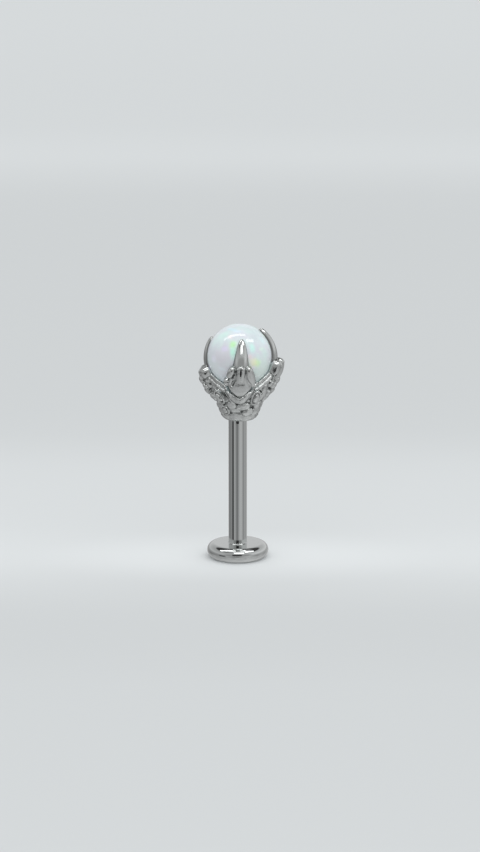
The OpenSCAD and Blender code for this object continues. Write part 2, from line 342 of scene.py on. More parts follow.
# A front claw leans: its azimuth changes evenly with the latitude
def clawAzimuth(claw, lat):
    return claw["azimuth"] + claw["sway"] * lat


# The nail from its root, v = 0, to its tip, v = 1: its half width goes evenly from nailHalf to tipHalf, times
# sqrt(1 - v^9) for the round end, and it thins with (1 - v)^1.5 until the end itself rounds off with sqrt(1 - v^28)
def nailGrid(claw):
    root = claw["knuckle"] + finger["nailRoot"]
    v = np.clip(np.sin(np.linspace(0, np.pi / 2, finger["nailRows"])), 0, 0.9995)
    lat = root + (claw["tip"] - root) * v
    half = (finger["nailHalf"] * (1 - v) + finger["tipHalf"] * v) * np.sqrt(1 - v**9)
    rootThick, tipThick = claw["thick"]
    rise = (tipThick + (rootThick - tipThick) * (1 - v) ** 1.5) * (0.15 + 0.85 * np.sqrt(1 - v**28))
    return archBar(clawAzimuth(claw, lat), lat, half, rise, finger["nailBoxy"])


# A finger's back: a bar along the meridian, its half width and rise read evenly from its rows
def backGrid(claw):
    if claw["side"]:
        lift = np.linspace(sideRows[0, 0], sideRows[-1, 0], 56)
        half, share = (np.interp(lift, sideRows[:, 0], sideRows[:, k]) for k in (1, 2))
        return archBar(claw["azimuth"], claw["knuckle"] + lift, half, claw["rise"] * share, finger["sideBoxy"])
    v = np.linspace(0, backRows[-1, 0], 48)
    lat = finger["backRoot"] + (claw["knuckle"] - finger["backRoot"]) * v
    half = finger["backHalf"] * np.interp(v, backRows[:, 0], backRows[:, 1])
    rise = claw["rise"] * np.interp(v, backRows[:, 0], backRows[:, 2])
    return archBar(clawAzimuth(claw, lat), lat, half, rise, finger["backBoxy"])


# The core under a finger, an even bar; a front one is thicker behind the back's point, so that no gap is left there:
# rise + more exp(-((lat - there) / reach)^2)
def coreGrid(claw):
    lat = np.linspace(finger["coreRoot"], claw["knuckle"], 40)
    rise = finger["coreRise"] + 0 * lat
    if not claw["side"]:
        more, there, reach = finger["coreMore"]
        rise += more * np.exp(-(((lat - there) / reach) ** 2))
    return archBar(clawAzimuth(claw, lat), lat, finger["coreHalf"] + 0 * lat, rise, finger["coreBoxy"])


# The pad over the joint: a round bar of radius padHalf bent over the ball, its ends rounded by sqrt(1 - beyond^2)
def padGrid(claw):
    reach, r = finger["padReach"], finger["padHalf"]
    end = math.degrees(r / (head["ballR"] + claw["rise"]))
    v = np.sin(np.linspace(-np.pi / 2 + 0.03, np.pi / 2 - 0.03, 40))
    lat = claw["knuckle"] + (reach + end) * v
    beyond = np.clip((np.abs(lat - claw["knuckle"]) - reach) / end, 0, 1)
    wide = r * np.sqrt(1 - beyond**2)
    a = np.linspace(0, 2 * np.pi, 32, endpoint=False)
    drop = finger["padDrop"] * v**4 if claw["side"] else 0 * v
    rise = claw["rise"] - r - drop[:, None] + wide[:, None] * np.sin(a)
    return overBall(clawAzimuth(claw, lat)[:, None] + 0 * a, lat[:, None] + 0 * a, rise, wide[:, None] * np.cos(a))


# The lobes beside a knuckle, as pillows; a side finger has the same ones on both sides
def lobeGrids(claw):
    rows = lobeRows
    if claw["side"]:
        ahead = sideLobeRows[claw["side"]]
        rows = ahead + [[row[0], -row[1], *row[2:6], -row[6]] for row in ahead]
    grids = []
    for lift, side, rise, tall, wide, thick, turn in rows:
        lat = claw["knuckle"] + lift
        origin, azimuth = overPlace(clawAzimuth(claw, lat), lat, rise, side)
        grids.append(placed(pillow(wide, tall, thick), azimuth, lat, origin, turn))
    return grids


# The scales down the back of a side finger, as pillows
def rootGrids(claw):
    grids = []
    for lat, side, top, tall, wide in rootRows:
        origin, azimuth = overPlace(claw["azimuth"], lat, top - finger["scaleRise"], side)
        grids.append(placed(pillow(wide, tall, finger["scaleRise"]), azimuth, lat, origin))
    return grids


# palm scales on the front half: azimuth, distance from the axis, height, half width, half height, turn, ring depth
scaleRows = [
    [-49, 1.76, -2.44, 0.38, 0.54, 28, 0.15],
    [-16, 1.74, -2.48, 0.20, 0.34, 24, 0],
    [37, 1.74, -2.46, 0.36, 0.56, -4, 0.14],
    [60, 1.76, -2.30, 0.30, 0.42, -16, 0],
    [-80, 1.71, -2.48, 0.34, 0.42, 16, 0],
    [84, 1.66, -2.58, 0.34, 0.42, -12, 0.08],
    [-64, 1.80, -2.04, 0.36, 0.36, 24, 0],
    [63, 1.84, -1.94, 0.36, 0.38, -20, 0],
    [9, 1.60, -2.97, 0.44, 0.27, 10, 0],
    [-19, 1.58, -2.88, 0.31, 0.31, 20, 0],
    [-60, 1.42, -3.02, 0.36, 0.30, -15, 0],
    [56, 1.41, -3.04, 0.36, 0.34, 15, 0],
    [88, 1.33, -3.14, 0.36, 0.32, 0, 0],
    [-88, 1.33, -3.14, 0.36, 0.32, 0, 0.06],
    [-11, 1.44, -3.20, 0.36, 0.24, -6, 0],
    [23, 1.37, -3.38, 0.38, 0.27, 24, 0],
    [-43, 1.38, -3.32, 0.36, 0.35, 12, 0.13],
    [-70, 1.23, -3.44, 0.35, 0.28, -10, 0],
    [50, 1.28, -3.42, 0.35, 0.30, -10, 0],
    [78, 1.21, -3.46, 0.35, 0.27, 10, 0],
]
palm = {
    "profile": [
        (1.20, -1.74), (1.44, -1.98), (1.56, -2.26), (1.62, -2.48), (1.60, -2.68),
        (1.44, -2.90), (1.28, -3.16), (1.18, -3.42), (1.13, -3.66), (1.10, -3.86),
    ],
    "footR": 0.84,
    "footRound": 0.22,
    "scaleLean": -24,
    "scaleSink": 0.08,
    "scaleHeight": 0.21,
    "scaleDome": 0.66,  # 1 is round, less is flatter with tighter edges
    "pebble": (0.026, 0.17),  # how high the grains on a ringed scale are, and how far apart
    "bandFlat": 1.65,  # the band is this much wider than thick
    "collarR": 1.08,
    "collarRound": 0.10,
    "collarLift": 0.12,  # how far it begins over the foot
    "collarTop": -3.72,
    "collarGable": 0.30,
    "collarLean": 0.20,
    "voxel": 0.034,
    "soften": 2,
}
# the band from its left end to its right one, and the web under it: azimuth, distance from the axis, height, radius
bandRows = np.array([
    [-83, 2.16, -0.54, 0.10],
    [-79, 2.01, -0.95, 0.15],
    [-71, 1.83, -1.24, 0.17],
    [-60, 1.58, -1.55, 0.18],
    [-46, 1.32, -1.78, 0.18],
    [-30, 1.40, -1.97, 0.19],
    [-14, 1.90, -2.27, 0.19],
    [0, 1.99, -2.54, 0.17],
    [14, 1.90, -2.23, 0.19],
    [32, 1.41, -1.92, 0.19],
    [48, 1.34, -1.74, 0.18],
    [60, 1.61, -1.50, 0.18],
    [72, 1.88, -1.16, 0.17],
    [80, 2.07, -0.73, 0.15],
    [84, 2.22, -0.25, 0.10],
])
webRows = np.array([
    [-79, 2.08, -1.22, 0.16],
    [-71, 1.86, -1.54, 0.20],
    [-60, 1.58, -1.86, 0.21],
    [-46, 1.46, -2.04, 0.20],
    [-30, 1.46, -2.20, 0.20],
    [-14, 1.74, -2.41, 0.18],
    [0, 1.93, -2.58, 0.17],
    [14, 1.76, -2.38, 0.18],
    [32, 1.48, -2.12, 0.20],
    [48, 1.50, -1.98, 0.20],
    [60, 1.64, -1.80, 0.21],
    [72, 1.94, -1.44, 0.20],
    [80, 2.12, -1.00, 0.16],
])


# A smooth curve through rows of numbers (Catmull-Rom), at even steps between them
def smoothRows(rows, steps):
    x = np.linspace(0, len(rows) - 1, (len(rows) - 1) * steps + 1)
    i = np.minimum(x.astype(int), len(rows) - 2)
    t = (x - i)[:, None]
    last = len(rows) - 1
    a, b, c, d = (rows[np.clip(i + k, 0, last)] for k in (-1, 0, 1, 2))
    return b + 0.5 * t * (c - a + t * (2 * a - 5 * b + 4 * c - d + t * (3 * (b - c) + d - a)))


# A bar along a path: p(u, a) = path(u) + radius(u) (flat cos a * across + sin a * out)
def tubeGrid(path, radius, flat=1.0, sides=24):
    along = np.gradient(path, axis=0)
    along /= np.linalg.norm(along, axis=1, keepdims=True)
    out = path / np.linalg.norm(path, axis=1, keepdims=True)
    out -= along * (out * along).sum(1, keepdims=True)
    out /= np.linalg.norm(out, axis=1, keepdims=True)
    across = np.cross(along, out)
    a = np.linspace(0, 2 * np.pi, sides, endpoint=False)[None, :, None]
    return path[:, None] + radius[:, None, None] * (flat * np.cos(a) * across[:, None] + np.sin(a) * out[:, None])


# A flattened bar along a smooth path through rows of azimuth, distance from the axis, height and radius
def bandGrid(ends):
    rows = smoothRows(ends, 8)
    a = np.radians(rows[:, 0])
    path = np.stack([rows[:, 1] * np.sin(a), -rows[:, 1] * np.cos(a), rows[:, 2]], -1)
    return tubeGrid(path, rows[:, 3], palm["bandFlat"])


# The palm's body under the ball, turned from its smooth profile with a rounded foot
def palmGrid():
    rise = -head["ballR"] + head["sunk"]
    foot = arc((palm["footR"], head["footZ"] + palm["footRound"]), palm["footRound"], 0, -90, 12)
    rim = smoothRows(np.array(palm["profile"]), 5)
    profile = np.concatenate([[(onAxis, rise)], rim, foot, [(onAxis, head["footZ"])]])
    return turned(profile[::-1], 96)


# The smooth collar under the scales: its upper edge runs as a low gable at the front and the back, with |cos a|^6,
# and it widens evenly upwards until its edge rounds off with v^8
def collarGrid():
    a = np.linspace(0, 2 * np.pi, 120, endpoint=False)
    top = palm["collarTop"] + palm["collarGable"] * np.abs(np.cos(a)) ** 6
    v = np.linspace(0, 1, 16)[:, None]
    low = head["footZ"] + palm["collarLift"]
    z = low + (top - low) * v
    r = palm["collarR"] + palm["collarLean"] * v - palm["collarRound"] * v**8
    return np.stack([r * np.sin(a), -r * np.cos(a), z], -1)


# The same grid behind the ball, its loops turned over so that the faces still point outwards
def mirrored(grid):
    return (grid * [1, -1, 1])[:, ::-1]


# The palm's scales: pillows that lean down the palm and are sunk a little into it
def scaleGrids():
    grids = []
    for azimuth, r, h, wide, tall, turn, ring in scaleRows:
        origin = np.array([0, 0, h]) + (r - palm["scaleSink"]) * outwardAt(azimuth, 0.0)
        pebble = palm["pebble"] if ring else (0.0, 1.0)
        shape = pillow(wide, tall, palm["scaleHeight"], palm["scaleDome"], ring, pebble, rows=48, sides=64)
        grids.append(placed(shape, azimuth, palm["scaleLean"], origin, turn))
    return grids


casting = {
    "softenBy": 0.5,
    # painted shade: how the darkening of the cast steel in its creases and hollows, where shade falls, is measured
    "hollowShade": (1.4, 6.5, 0.3, 0.3),  # the depth where it begins, over what it grows, mm off the ball, and least share
}


# Overlapping closed grids cast into one skin: a voxel remesh in millimetres, softened by a few rounds of smoothing
def castTogether(name, grids, voxel, rounds):
    points, faces = gathered(grids)
    mesh = bpy.data.meshes.new(name)
    mesh.from_pydata(points.tolist(), [], faces)
    rough = bpy.data.objects.new(name, mesh)
    scene.collection.objects.link(rough)
    skin = rough.modifiers.new("skin", "REMESH")
    skin.mode = "VOXEL"
    skin.voxel_size = voxel
    soften = rough.modifiers.new("soften", "SMOOTH")
    soften.factor = casting["softenBy"]
    soften.iterations = rounds
    bpy.context.view_layer.update()
    ready = rough.evaluated_get(bpy.context.evaluated_depsgraph_get())
    cast = bpy.data.meshes.new_from_object(ready)
    bpy.data.objects.remove(rough)
    return cast


# A mesh's points as an array
def vertexArray(mesh):
    points = np.empty(len(mesh.vertices) * 3)
    mesh.vertices.foreach_get("co", points)
    return points.reshape(-1, 3)


# The normals at a mesh's points as an array
def normalArray(mesh):
    normals = np.empty(len(mesh.vertices) * 3)
    mesh.vertex_normals.foreach_get("vector", normals)
    return normals.reshape(-1, 3)


# Points inside the ball are lifted to just under its surface, so that the casting hugs it
def seated(points):
    r = np.linalg.norm(points, axis=1, keepdims=True)
    floor = head["ballR"] - head["seat"]
    return points * np.maximum(r, floor) / np.maximum(r, 1e-6)


# How deep each point lies in a hollow: its neighbours' mean height over it, along the normal
def hollows(mesh, points, rounds=3):
    edges = np.empty(len(mesh.edges) * 2, int)
    mesh.edges.foreach_get("vertices", edges)
    edges = edges.reshape(-1, 2)
    count = np.bincount(edges.ravel(), minlength=len(points))[:, None]

    def spread(values):
        total = np.zeros_like(values)
        for k in range(values.shape[1]):
            total[:, k] += np.bincount(edges[:, 0], values[edges[:, 1], k], len(points))
            total[:, k] += np.bincount(edges[:, 1], values[edges[:, 0], k], len(points))
        return total / np.maximum(count, 1)

    mean = points
    for _ in range(rounds):
        mean = spread(mean)
    depth = ((mean - points) * normalArray(mesh)).sum(1, keepdims=True)
    return spread(depth)[:, 0]


# Grooves by their points: degrees over the knuckle, sideways, width, depth; down the middle of the pad, beside it, and
# on a side finger's flanks
padGroove = [[9, -0.03, 0.06, 0.16], [5, -0.03, 0.07, 0.24], [-1, -0.02, 0.03, 0.16]]
grooveRows = [padGroove, [[-1, -0.44, 0.05, 0.12], [-8, -0.42, 0.07, 0.2], [-14, -0.52, 0.06, 0.16]]]
sideGrooveRows = {
    "right": [padGroove, [[-5, 0.70, 0.03, 0.16], [-12, 0.76, 0.05, 0.26], [-20, 0.82, 0.035, 0.2]]],
    "left": [
        padGroove,
        [[-6, 0.60, 0.03, 0.10], [-9, 0.74, 0.04, 0.14]],
        [[-14, 0.62, 0.03, 0.10], [-20, 0.70, 0.04, 0.14]],
    ],
}


# Pushes a surface in along a groove, against its normals, by depth exp(-(distance / width)^2), well off the ball only
def engraved(points, normals, claw, rows):
    r = np.linalg.norm(points, axis=1)
    lat = np.degrees(np.arcsin(points[:, 2] / np.maximum(r, 1e-6)))
    azimuth = np.degrees(np.arctan2(points[:, 0], -points[:, 1]))
    gap = (azimuth - clawAzimuth(claw, lat) + 180) % 360 - 180
    side = np.radians(gap) * np.cos(np.radians(lat)) * r
    up = np.radians(lat - claw["knuckle"]) * (head["ballR"] + claw["rise"])
    here = np.stack([side, up], -1)
    sunk = np.zeros(len(points))
    for first, last in zip(rows[:-1], rows[1:]):
        nodes = [np.array([row[1], math.radians(row[0]) * (head["ballR"] + claw["rise"])]) for row in (first, last)]
        span = nodes[1] - nodes[0]
        along = np.clip(((here - nodes[0]) @ span) / (span @ span), 0, 1)
        away = np.linalg.norm(here - nodes[0] - along[:, None] * span, axis=1)
        wide = first[2] + (last[2] - first[2]) * along
        deep = first[3] + (last[3] - first[3]) * along
        sunk = np.maximum(sunk, deep * np.exp(-((away / wide) ** 2)))
    outer = np.clip((r - head["ballR"] - 0.14) / 0.1, 0, 1) * (np.abs(gap) < 60)
    return points - normals * (sunk * outer)[:, None]


# Puts a mesh's points in new places
def reshape(mesh, points):
    mesh.vertices.foreach_set("co", points.ravel())
    mesh.update()


# Every claw's grooves pushed in; a side finger has its flanks' grooves on both sides
def grooved(cast, points):
    normals = normalArray(cast)
    for claw in claws:
        flanks = sideGrooveRows[claw["side"]] if claw["side"] else grooveRows
        if claw["side"]:
            flanks = flanks + [[[row[0], -row[1], *row[2:]] for row in rows] for rows in flanks[1:]]
        for rows in flanks:
            points = engraved(points, normals, claw, rows)
    return points


# Casts the grids of a piece, seats the skin on the ball, cuts its grooves and moves it to its place. The hollowShade
# attribute, 0 to 1, is painted shade for creases and hollows: it grows with the depth over voxel^2, and is less right
# beside the ball
def castPiece(name, grids, size, hasGrooves=False):
    cast = castTogether(name, grids, size["voxel"], size["soften"])
    points = seated(vertexArray(cast))
    reshape(cast, points)
    if hasGrooves:
        points = grooved(cast, points)
        reshape(cast, points)
    depth = hollows(cast, points) / size["voxel"] ** 2
    reshape(cast, (points + np.array(head["centre"])) * metre)
    start, over, clear, least = casting["hollowShade"]
    off = np.clip((np.linalg.norm(points, axis=1) - head["ballR"]) / clear, least, 1)
    share = off * np.clip((depth - start) / over, 0, 1)
    # painted shade in the creases and hollows, kept as an attribute that darkens the steel's colour
    hollowShade = cast.attributes.new("hollowShade", "FLOAT", "POINT")
    hollowShade.data.foreach_set("value", share.astype(np.float32))
    cast.polygons.foreach_set("use_smooth", [True] * len(cast.polygons))
    cast.name = name
    cast.update()
    piece = bpy.data.objects.new(name, cast)
    scene.collection.objects.link(piece)
    return piece


palmParts = [palmGrid(), collarGrid()]
for rows in (bandRows, webRows):
    palmParts += [bandGrid(rows), mirrored(bandGrid(rows))]
for grid in scaleGrids():
    palmParts += [grid, mirrored(grid)]
for claw in claws:
    palmParts.append(coreGrid(claw))
palmPiece = castPiece("claw_palm", palmParts, palm)
print("palm cast", len(palmPiece.data.polygons))

fingerParts = []
for claw in claws:
    fingerParts += [backGrid(claw), padGrid(claw), *lobeGrids(claw)]
    if claw["side"]:
        fingerParts += rootGrids(claw)
fingerPiece = castPiece("claw_fingers", fingerParts, finger, hasGrooves=True)
print("fingers cast", len(fingerPiece.data.polygons))


# Painted shade on a nail at each of its points, 0 to 1: dark along its edges, close to the ball, where |cos a| is near
# 1, and on the very tip, standing in for the dark reflections and shade there; the last two values are for the middles
# of its ends
def nailShade():
    edge = np.abs(np.cos(np.linspace(0, 2 * np.pi, head["sides"], endpoint=False)))
    shade = np.clip((edge - 0.80) / 0.16, 0, 1)[None, :] * np.ones((finger["nailRows"], 1))
    onTip = 0.8
    shade[-3:] = onTip
    return np.concatenate([shade.ravel(), [1, onTip]])


nailPoints, nailFaces = gathered([nailGrid(claw) for claw in claws])
nailPiece = makeObject("claw_nails", seated(nailPoints) + head["centre"], nailFaces)
# the nails' painted shade goes into their hollowShade attribute
hollowShade = nailPiece.data.attributes.new("hollowShade", "FLOAT", "POINT")
hollowShade.data.foreach_set("value", np.tile(nailShade(), len(claws)).astype(np.float32) * finger["nailPaintedShade"])
print("nails shaped")


# The ball, with the flashes of colour and the patches of painted shade kept as an attribute
opal = {
    "rows": 150,
    "cols": 300,
    "seed": 11,
    "strays": 34,  # flashes strewn over the rest of the ball
    "milk": [(0.735, 0.765, 0.825, 1), (0.735, 0.88, 0.87, 1)],  # the cloudy body's two tones
    "cloudSize": 1.1,
    "roughness": 0.05,
    "ior": 1.5,
    "glow": 0.2,  # how much light goes through the surface, and how deep in mm
    "glowDepth": 0.4,
}
# flashes that face the viewer: azimuth, latitude, half width, half height, turn, strength, colour; the first four are
# wide soft greyish patches of painted shade that darken the ball on its left, lower right, upper right and upper left
flashAndShadeRows = [
    [-38, -8, 1.30, 1.05, 0, 0.60, (0.66, 0.635, 0.68)],
    [44, -22, 0.95, 0.80, 0, 0.50, (0.70, 0.75, 0.69)],
    [60, 56, 0.80, 0.70, 0, 0.45, (0.64, 0.76, 0.78)],
    [-66, 22, 0.60, 0.50, 0, 0.40, (0.64, 0.70, 0.76)],
    [-13.5, 30.6, 0.19, 0.22, -8, 1.0, (0.62, 1.0, 0.58)],
    [-12.2, 18.1, 0.17, 0.26, 6, 0.90, (0.60, 1.0, 0.82)],
    [-45.6, 48.2, 0.34, 0.22, 20, 0.59, (0.70, 0.95, 0.88)],
    [24.8, 24.0, 0.17, 0.27, 4, 0.95, (0.66, 0.98, 0.91)],
    [-28.8, 22.3, 0.22, 0.16, 10, 0.65, (0.80, 0.75, 0.97)],
    [-26.2, 62.9, 0.42, 0.13, -14, 0.65, (0.67, 0.87, 0.98)],
    [32.1, -2.8, 0.24, 0.20, -25, 0.85, (0.70, 0.98, 0.60)],
    [25.0, -1.0, 0.24, 0.30, 15, 0.55, (0.97, 0.90, 0.62)],
    [18.7, 9.0, 0.15, 0.15, 0, 0.59, (0.97, 0.80, 0.82)],
    [24.0, -12.0, 0.14, 0.12, 0, 0.45, (0.90, 0.80, 0.97)],
    [45.0, 20.0, 0.20, 0.09, 0, 0.59, (0.78, 0.97, 0.84)],
    [26.0, 10.0, 0.20, 0.16, 0, 0.40, (0.74, 0.74, 0.84)],
    [52.0, 14.0, 0.24, 0.26, 10, 0.50, (0.66, 0.86, 0.80)],
    [-8.0, 58.0, 0.32, 0.10, 12, 0.52, (0.74, 0.85, 0.98)],
    [-24.0, 45.0, 0.16, 0.10, -20, 0.59, (0.99, 0.85, 0.85)],
    [-60.0, 30.0, 0.24, 0.24, 0, 0.35, (0.74, 0.93, 0.88)],
    [-52.0, 2.0, 0.22, 0.20, 0, 0.45, (0.82, 0.80, 0.95)],
    [58.0, 34.0, 0.20, 0.24, 0, 0.52, (0.70, 0.93, 0.95)],
    [-33.3, -14.0, 0.24, 0.12, -10, 0.33, (0.78, 0.90, 0.95)],
    [-12.0, 8.0, 0.12, 0.16, 0, 0.59, (0.67, 0.95, 0.87)],
]
flashColours = [
    (0.62, 0.97, 0.64), (0.64, 0.97, 0.87), (0.60, 0.95, 0.95), (0.67, 0.87, 0.98),
    (0.80, 0.75, 0.97), (0.98, 0.88, 0.64), (0.97, 0.80, 0.82), (0.74, 0.95, 0.60),
]


# The ball as circles: p(f, a) = ballR (sin f sin a, -sin f cos a, -cos f)
def ballGrid():
    f = np.linspace(0.004, np.pi - 0.004, opal["rows"])[:, None]
    a = np.linspace(0, 2 * np.pi, opal["cols"], endpoint=False)[None, :]
    r = head["ballR"]
    return np.stack([r * np.sin(f) * np.sin(a), -r * np.sin(f) * np.cos(a), -r * np.cos(f) + 0 * a], -1)


# Flashes beyond the listed ones, away from the front
def strayFlashes():
    draw = np.random.default_rng(opal["seed"])
    rows = []
    for _ in range(opal["strays"]):
        azimuth = draw.uniform(70, 290)
        lat = math.degrees(math.asin(draw.uniform(-0.6, 0.97)))
        wide, tall = draw.uniform(0.1, 0.3, 2)
        colour = flashColours[draw.integers(len(flashColours))]
        rows.append([azimuth, lat, wide, tall, draw.uniform(-40, 40), draw.uniform(0.4, 0.9), colour])
    return rows


# Each flash, and each patch of painted shade, is a soft-edged squarish patch on the ball:
# strength * exp(-0.8 (|x / wide|^3 + |y / tall|^3))
def flashAndShadeTint(points):
    tint = np.zeros((len(points), 4))
    for azimuth, lat, wide, tall, turn, strength, colour in flashAndShadeRows + strayFlashes():
        out, across, north = outwardAt(azimuth, lat), sidewaysAt(np.float64(azimuth)), outwardAt(azimuth, lat + 90)
        x, y = points @ across, points @ north
        c, s = math.cos(math.radians(turn)), math.sin(math.radians(turn))
        far = np.abs((c * x + s * y) / wide) ** 3 + np.abs((-s * x + c * y) / tall) ** 3
        share = strength * np.exp(-0.8 * far) * (points @ out > 0)
        tint[:, :3] = tint[:, :3] * (1 - share[:, None]) + share[:, None] * np.array(colour)
        tint[:, 3] = tint[:, 3] * (1 - share) + share
    return tint


ballPoints, ballFaces = gathered([ballGrid()])
ballPiece = makeObject("opal_ball_polished", ballPoints + head["centre"], ballFaces)
# the opal's flashes together with the patches of painted shade
flashAndShade = ballPiece.data.attributes.new("flashAndShade", "FLOAT_COLOR", "POINT")
flashAndShade.data.foreach_set("color", flashAndShadeTint(ballPoints).astype(np.float32).ravel())
print("ball made")


# An empty material with one Principled shader
def newMaterial(name):
    material = bpy.data.materials.new(name)
    material.use_nodes = True
    tree = material.node_tree
    tree.nodes.clear()
    out = tree.nodes.new("ShaderNodeOutputMaterial")
    shader = tree.nodes.new("ShaderNodeBsdfPrincipled")
    tree.links.new(shader.outputs["BSDF"], out.inputs["Surface"])
    return material, tree, shader


# A shader node, with each value put on its socket of that name or else on the node itself
def addNode(tree, kind, **values):
    node = tree.nodes.new("ShaderNode" + kind)
    for key, value in values.items():
        if key in node.inputs:
            node.inputs[key].default_value = value
        else:
            setattr(node, key, value)
    return node


# Noise on the piece's own coordinates, its patches size mm across over stretch
def objectNoise(tree, size, detail=3.0, stretch=(1, 1, 1)):
    where = addNode(tree, "TexCoord")
    scaled = addNode(tree, "Mapping")
    scaled.inputs["Scale"].default_value = [s / (size * metre) for s in stretch]
    noise = addNode(tree, "TexNoise", Scale=1.0, Detail=detail)
    tree.links.new(where.outputs["Object"], scaled.inputs["Vector"])
    tree.links.new(scaled.outputs["Vector"], noise.inputs["Vector"])
    return noise


# Carries a value evenly from start..end to low..high, and keeps it within them
def remap(tree, source, low, high, start=0.0, end=1.0):
    node = addNode(tree, "MapRange")
    node.inputs["From Min"].default_value = start
    node.inputs["From Max"].default_value = end
    node.inputs["To Min"].default_value = low
    node.inputs["To Max"].default_value = high
    tree.links.new(source, node.inputs["Value"])
    return node.outputs["Result"]


# Two colours mixed by a factor; each may be a socket or a value
def mixed(tree, factor, first, second):
    node = addNode(tree, "Mix", data_type="RGBA")
    ends = [socket for socket in node.inputs if socket.type == "RGBA"]
    for socket, end in zip(ends, (first, second)):
        if isinstance(end, tuple):
            socket.default_value = end
        else:
            tree.links.new(end, socket)
    tree.links.new(factor, node.inputs["Factor"])
    return [socket for socket in node.outputs if socket.type == "RGBA"][0]


steel = {
    "colour": (0.60, 0.62, 0.612, 1),
    # dull and bright: a painted mottle of duller and brighter places on the palm, for its scales' varied reflections
    "dull": (0.53, 0.548, 0.541, 1),
    "bright": (0.71, 0.734, 0.724, 1),
    "paintedMottleSize": 0.4,  # mm, of the palm's duller and brighter places
    # the dark colour of the painted shade in creases, hollows and along the nails' edges
    "hollowShade": (0.16, 0.165, 0.163, 1),
    "edge": (0.6, 0.6, 0.6, 1),  # what is left of the colour where the metal is seen at a flat angle
}
# how rough, in patches of what size and stretch, and how high the fine grain is and how far apart, in mm; what gets the
# painted shade in its hollows, and what gets the painted mottle of duller and brighter reflections
turnedFinish = {"wear": 0.9, "stretch": (1, 1, 0.15), "relief": 0.0008, "grain": 0.3, "paintedMottle": False}
castFinish = {"wear": 0.35, "stretch": (1, 1, 1), "roughness": (0.08, 0.20), "grain": 0.2, "hollows": True}
finishes = {
    "turned_steel": {**turnedFinish, "roughness": (0.05, 0.12), "hollows": False},
    "nail_steel": {**turnedFinish, "roughness": (0.12, 0.20), "hollows": True},
    "cast_steel": {**castFinish, "relief": 0.03, "paintedMottle": False},
    "palm_steel": {**castFinish, "relief": 0.14, "paintedMottle": True},
}


# Steel: noise changes its roughness and lifts a fine grain, and the hollowShade attribute carries its colour to a dark
# one: painted shade in creases and hollows, and painted dark edges on the nails
def steelMaterial(name):
    finish = finishes[name]
    material, tree, shader = newMaterial(name)
    shader.inputs["Metallic"].default_value = 1.0
    shader.inputs["Base Color"].default_value = steel["colour"]
    low, high = finish["roughness"]
    wear = objectNoise(tree, finish["wear"], stretch=finish["stretch"])
    tree.links.new(remap(tree, wear.outputs["Fac"], low, high, 0.3, 0.7), shader.inputs["Roughness"])
    fine = objectNoise(tree, finish["grain"])
    bump = addNode(tree, "Bump", Strength=0.5, Distance=finish["relief"] * metre)
    tree.links.new(fine.outputs["Fac"], bump.inputs["Height"])
    tree.links.new(bump.outputs["Normal"], shader.inputs["Normal"])
    if finish["hollows"]:
        shader.inputs["Specular Tint"].default_value = steel["edge"]
        # painted shade: the attribute darkens the colour where shade falls
        hollowShade = addNode(tree, "Attribute", attribute_name="hollowShade")
        plain = steel["colour"]
        # painted reflection: duller and brighter places strewn at random over the palm
        if finish["paintedMottle"]:
            paintedMottle = objectNoise(tree, steel["paintedMottleSize"], 2.0)
            share = remap(tree, paintedMottle.outputs["Fac"], 0.0, 1.0, 0.36, 0.64)
            plain = mixed(tree, share, steel["dull"], steel["bright"])
        colour = mixed(tree, hollowShade.outputs["Fac"], plain, steel["hollowShade"])
        tree.links.new(colour, shader.inputs["Base Color"])
    return material


# Milky body with clouds, and the flashes and the patches of painted shade laid over it: the attribute holds colour
# times share, and the share as alpha
def opalMaterial():
    material, tree, shader = newMaterial("milky_opal")
    clouds = objectNoise(tree, opal["cloudSize"], 2.0)
    cloudy = remap(tree, clouds.outputs["Fac"], 0.0, 1.0, 0.35, 0.62)
    milk = mixed(tree, cloudy, opal["milk"][0], opal["milk"][1])
    # the opal's flashes and the patches of painted shade
    flashAndShade = addNode(tree, "Attribute", attribute_name="flashAndShade")
    fade = addNode(tree, "Math", operation="SUBTRACT")
    fade.inputs[0].default_value = 1.0
    tree.links.new(flashAndShade.outputs["Alpha"], fade.inputs[1])
    dim = addNode(tree, "VectorMath", operation="SCALE")
    tree.links.new(milk, dim.inputs[0])
    tree.links.new(fade.outputs[0], dim.inputs["Scale"])
    both = addNode(tree, "VectorMath", operation="ADD")
    tree.links.new(dim.outputs[0], both.inputs[0])
    tree.links.new(flashAndShade.outputs["Color"], both.inputs[1])
    tree.links.new(both.outputs[0], shader.inputs["Base Color"])
    shader.inputs["Roughness"].default_value = opal["roughness"]
    shader.inputs["IOR"].default_value = opal["ior"]
    shader.inputs["Subsurface Weight"].default_value = opal["glow"]
    shader.inputs["Subsurface Radius"].default_value = (0.5, 0.5, 0.5)
    shader.inputs["Subsurface Scale"].default_value = opal["glowDepth"] * metre
    return material


postPiece.data.materials.append(steelMaterial("turned_steel"))
fingerPiece.data.materials.append(steelMaterial("cast_steel"))
palmPiece.data.materials.append(steelMaterial("palm_steel"))
nailPiece.data.materials.append(steelMaterial("nail_steel"))
ballPiece.data.materials.append(opalMaterial())
print("materials assigned")

floorLook = {
    "half": 3000.0,
    "z": -0.02,
    "colour": (0.715, 0.745, 0.757),
    # brightness from near to far: place along Y in mm, factor
    "bands": [
        (-60, 0.885), (-25, 0.84), (-13, 0.805), (-5, 0.90), (0, 0.98), (8, 0.905), (24, 0.90), (36, 0.815),
        (60, 0.81), (130, 0.80), (200, 0.80), (240, 0.86), (270, 0.89), (330, 0.84), (600, 0.85), (1300, 0.87),
    ],
    "far": (200.0, 1150.0, 0.862),  # from here to there, in mm, it turns to one tone all round
    "pool": (7.5, 3.5, 0.10),  # a little more light close to the stud: reach along X and Y in mm, and how much
    "poolEdge": (0.3, 2.0),  # where it fades, in those reaches
}


